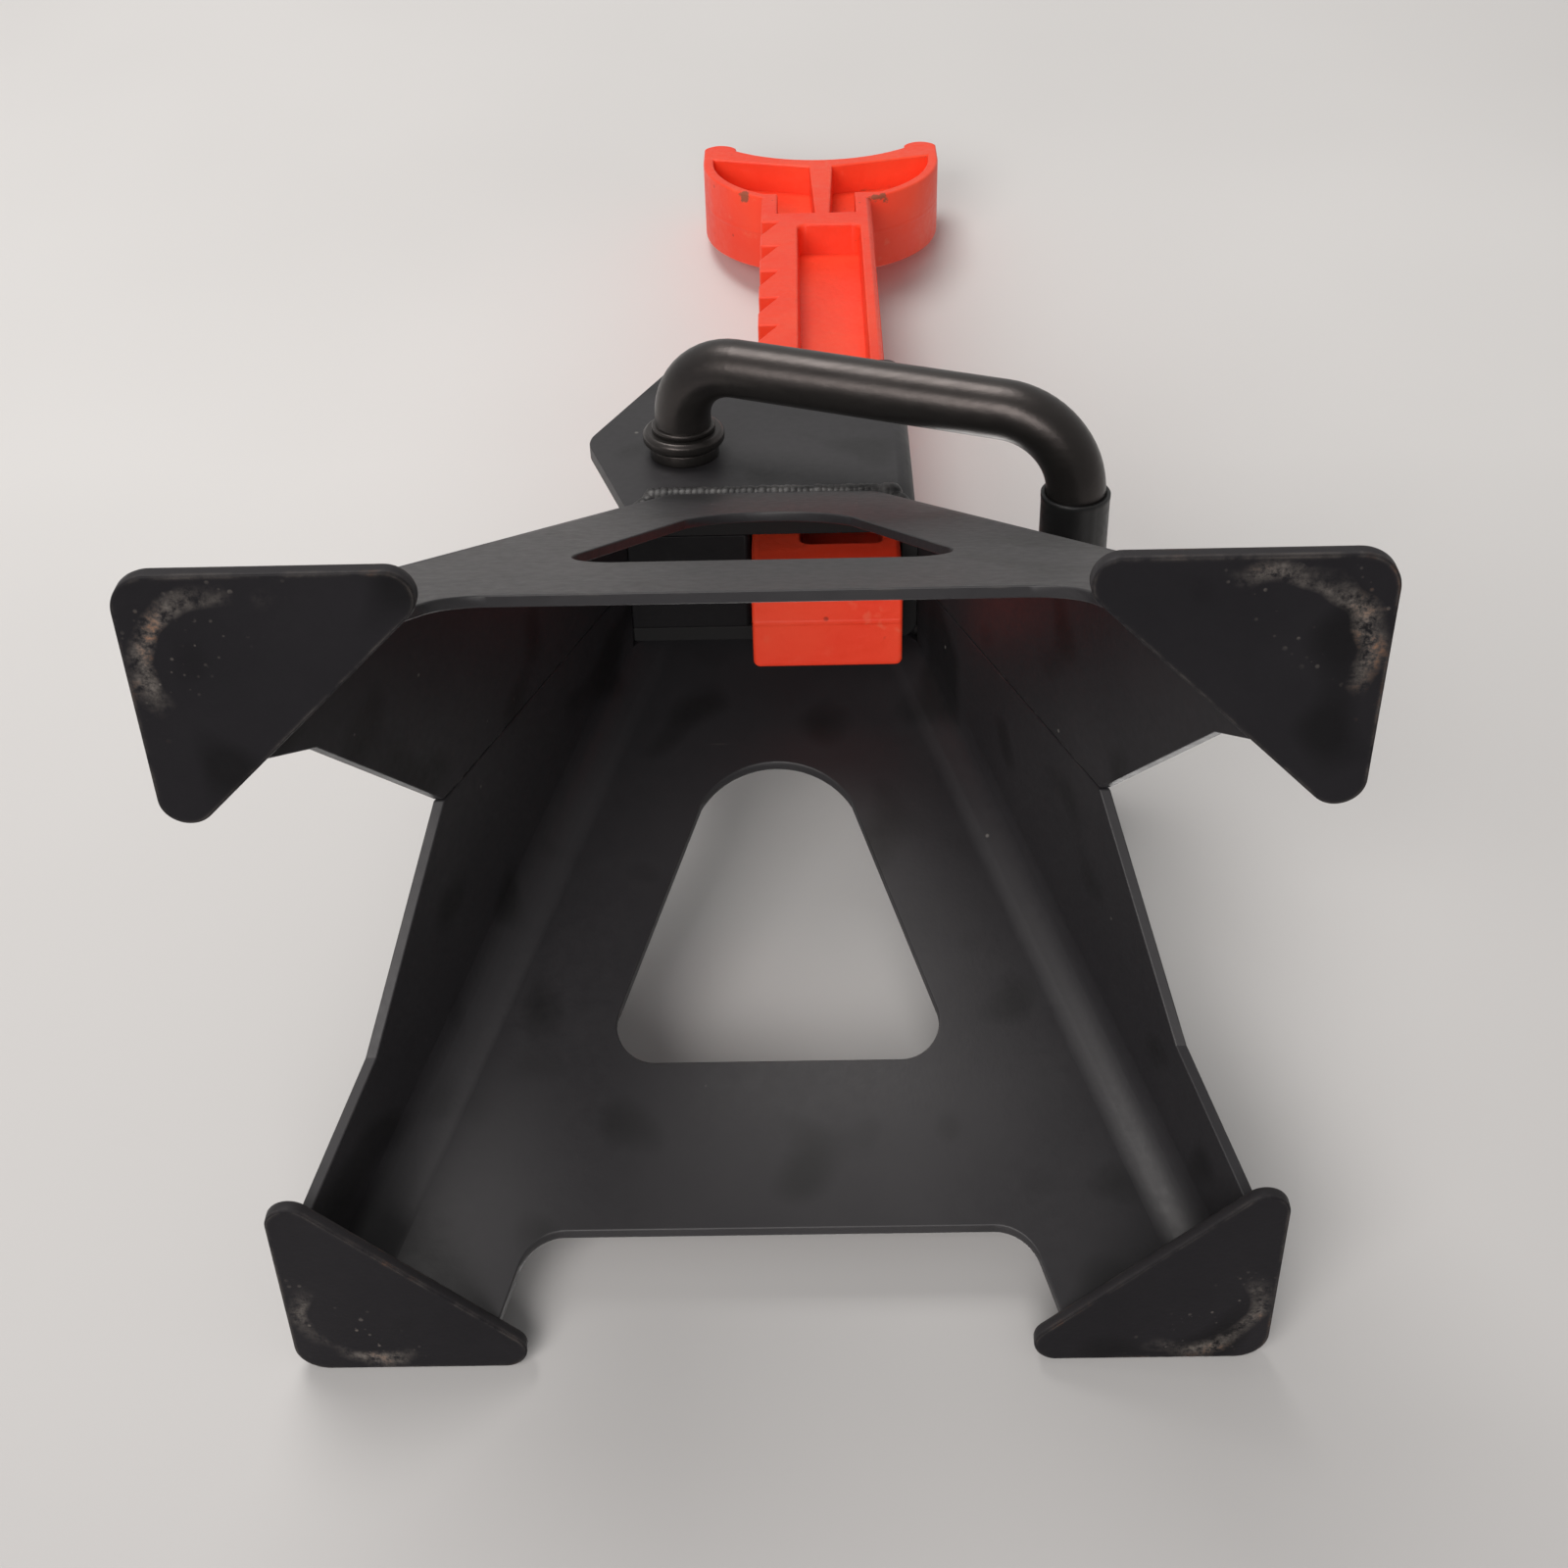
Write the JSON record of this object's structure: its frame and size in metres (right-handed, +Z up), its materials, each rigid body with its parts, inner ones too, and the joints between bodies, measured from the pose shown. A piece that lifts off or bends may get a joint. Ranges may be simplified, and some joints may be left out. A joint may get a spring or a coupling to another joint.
{
  "type": "ratchet jack stand",
  "caption": "Ratchet jack stand: flared bent-sheet base on foot pads, sliding toothed cast column with a half-moon saddle, and a bent pivoting handle whose pawl locks the column.",
  "frame": {"origin": "middle of the base, on the floor under the foot pads", "axes": "+Z up along the column's slide, -Y towards the handle's cross run, -X towards the column's teeth"},
  "size_m": [0.206, 0.196, 0.4356],
  "materials": {
    "black_coat": "satin black powder coat",
    "weld_bead": "coated weld bead",
    "red_paint": "satin orange-red paint on a casting",
    "rod_coat": "satin black coat",
    "grip_vinyl": "matte dipped vinyl",
    "bare_steel": "oiled"
  },
  "bodies": {
    "base": {"front_shell": "black_coat", "rear_shell": "black_coat", "front_left_foot": "black_coat", "front_right_foot": "black_coat", "rear_left_foot": "black_coat", "rear_right_foot": "black_coat", "ratchet_housing": "black_coat", "upper_guide_bar": "black_coat", "lower_guide_bar": "black_coat", "left_seam_weld": "weld_bead", "right_seam_weld": "weld_bead", "front_housing_weld": "weld_bead", "rear_housing_weld": "weld_bead", "foot_welds": "weld_bead", "front_bush": "rod_coat", "rear_bush": "rod_coat"},
    "column": {"ratchet_column": "red_paint"},
    "handle": {"handle_rod": "rod_coat", "handle_grip": "grip_vinyl", "pawl": "bare_steel", "pawl_pin": "bare_steel", "front_washer": "rod_coat", "rear_washer": "rod_coat", "retaining_ring": "bare_steel"}
  },
  "joints": [
    {"name": "column_slide", "type": "slide", "parent": "base", "child": "column", "axis": [0, 0, 1], "range_m": [-0.12, 0]},
    {"name": "handle_pivot", "type": "hinge", "parent": "base", "child": "handle", "pos_m": [-0.0225, 0, 0.1958], "axis": [0, -1, 0], "range_deg": [0, 35]}
  ]
}
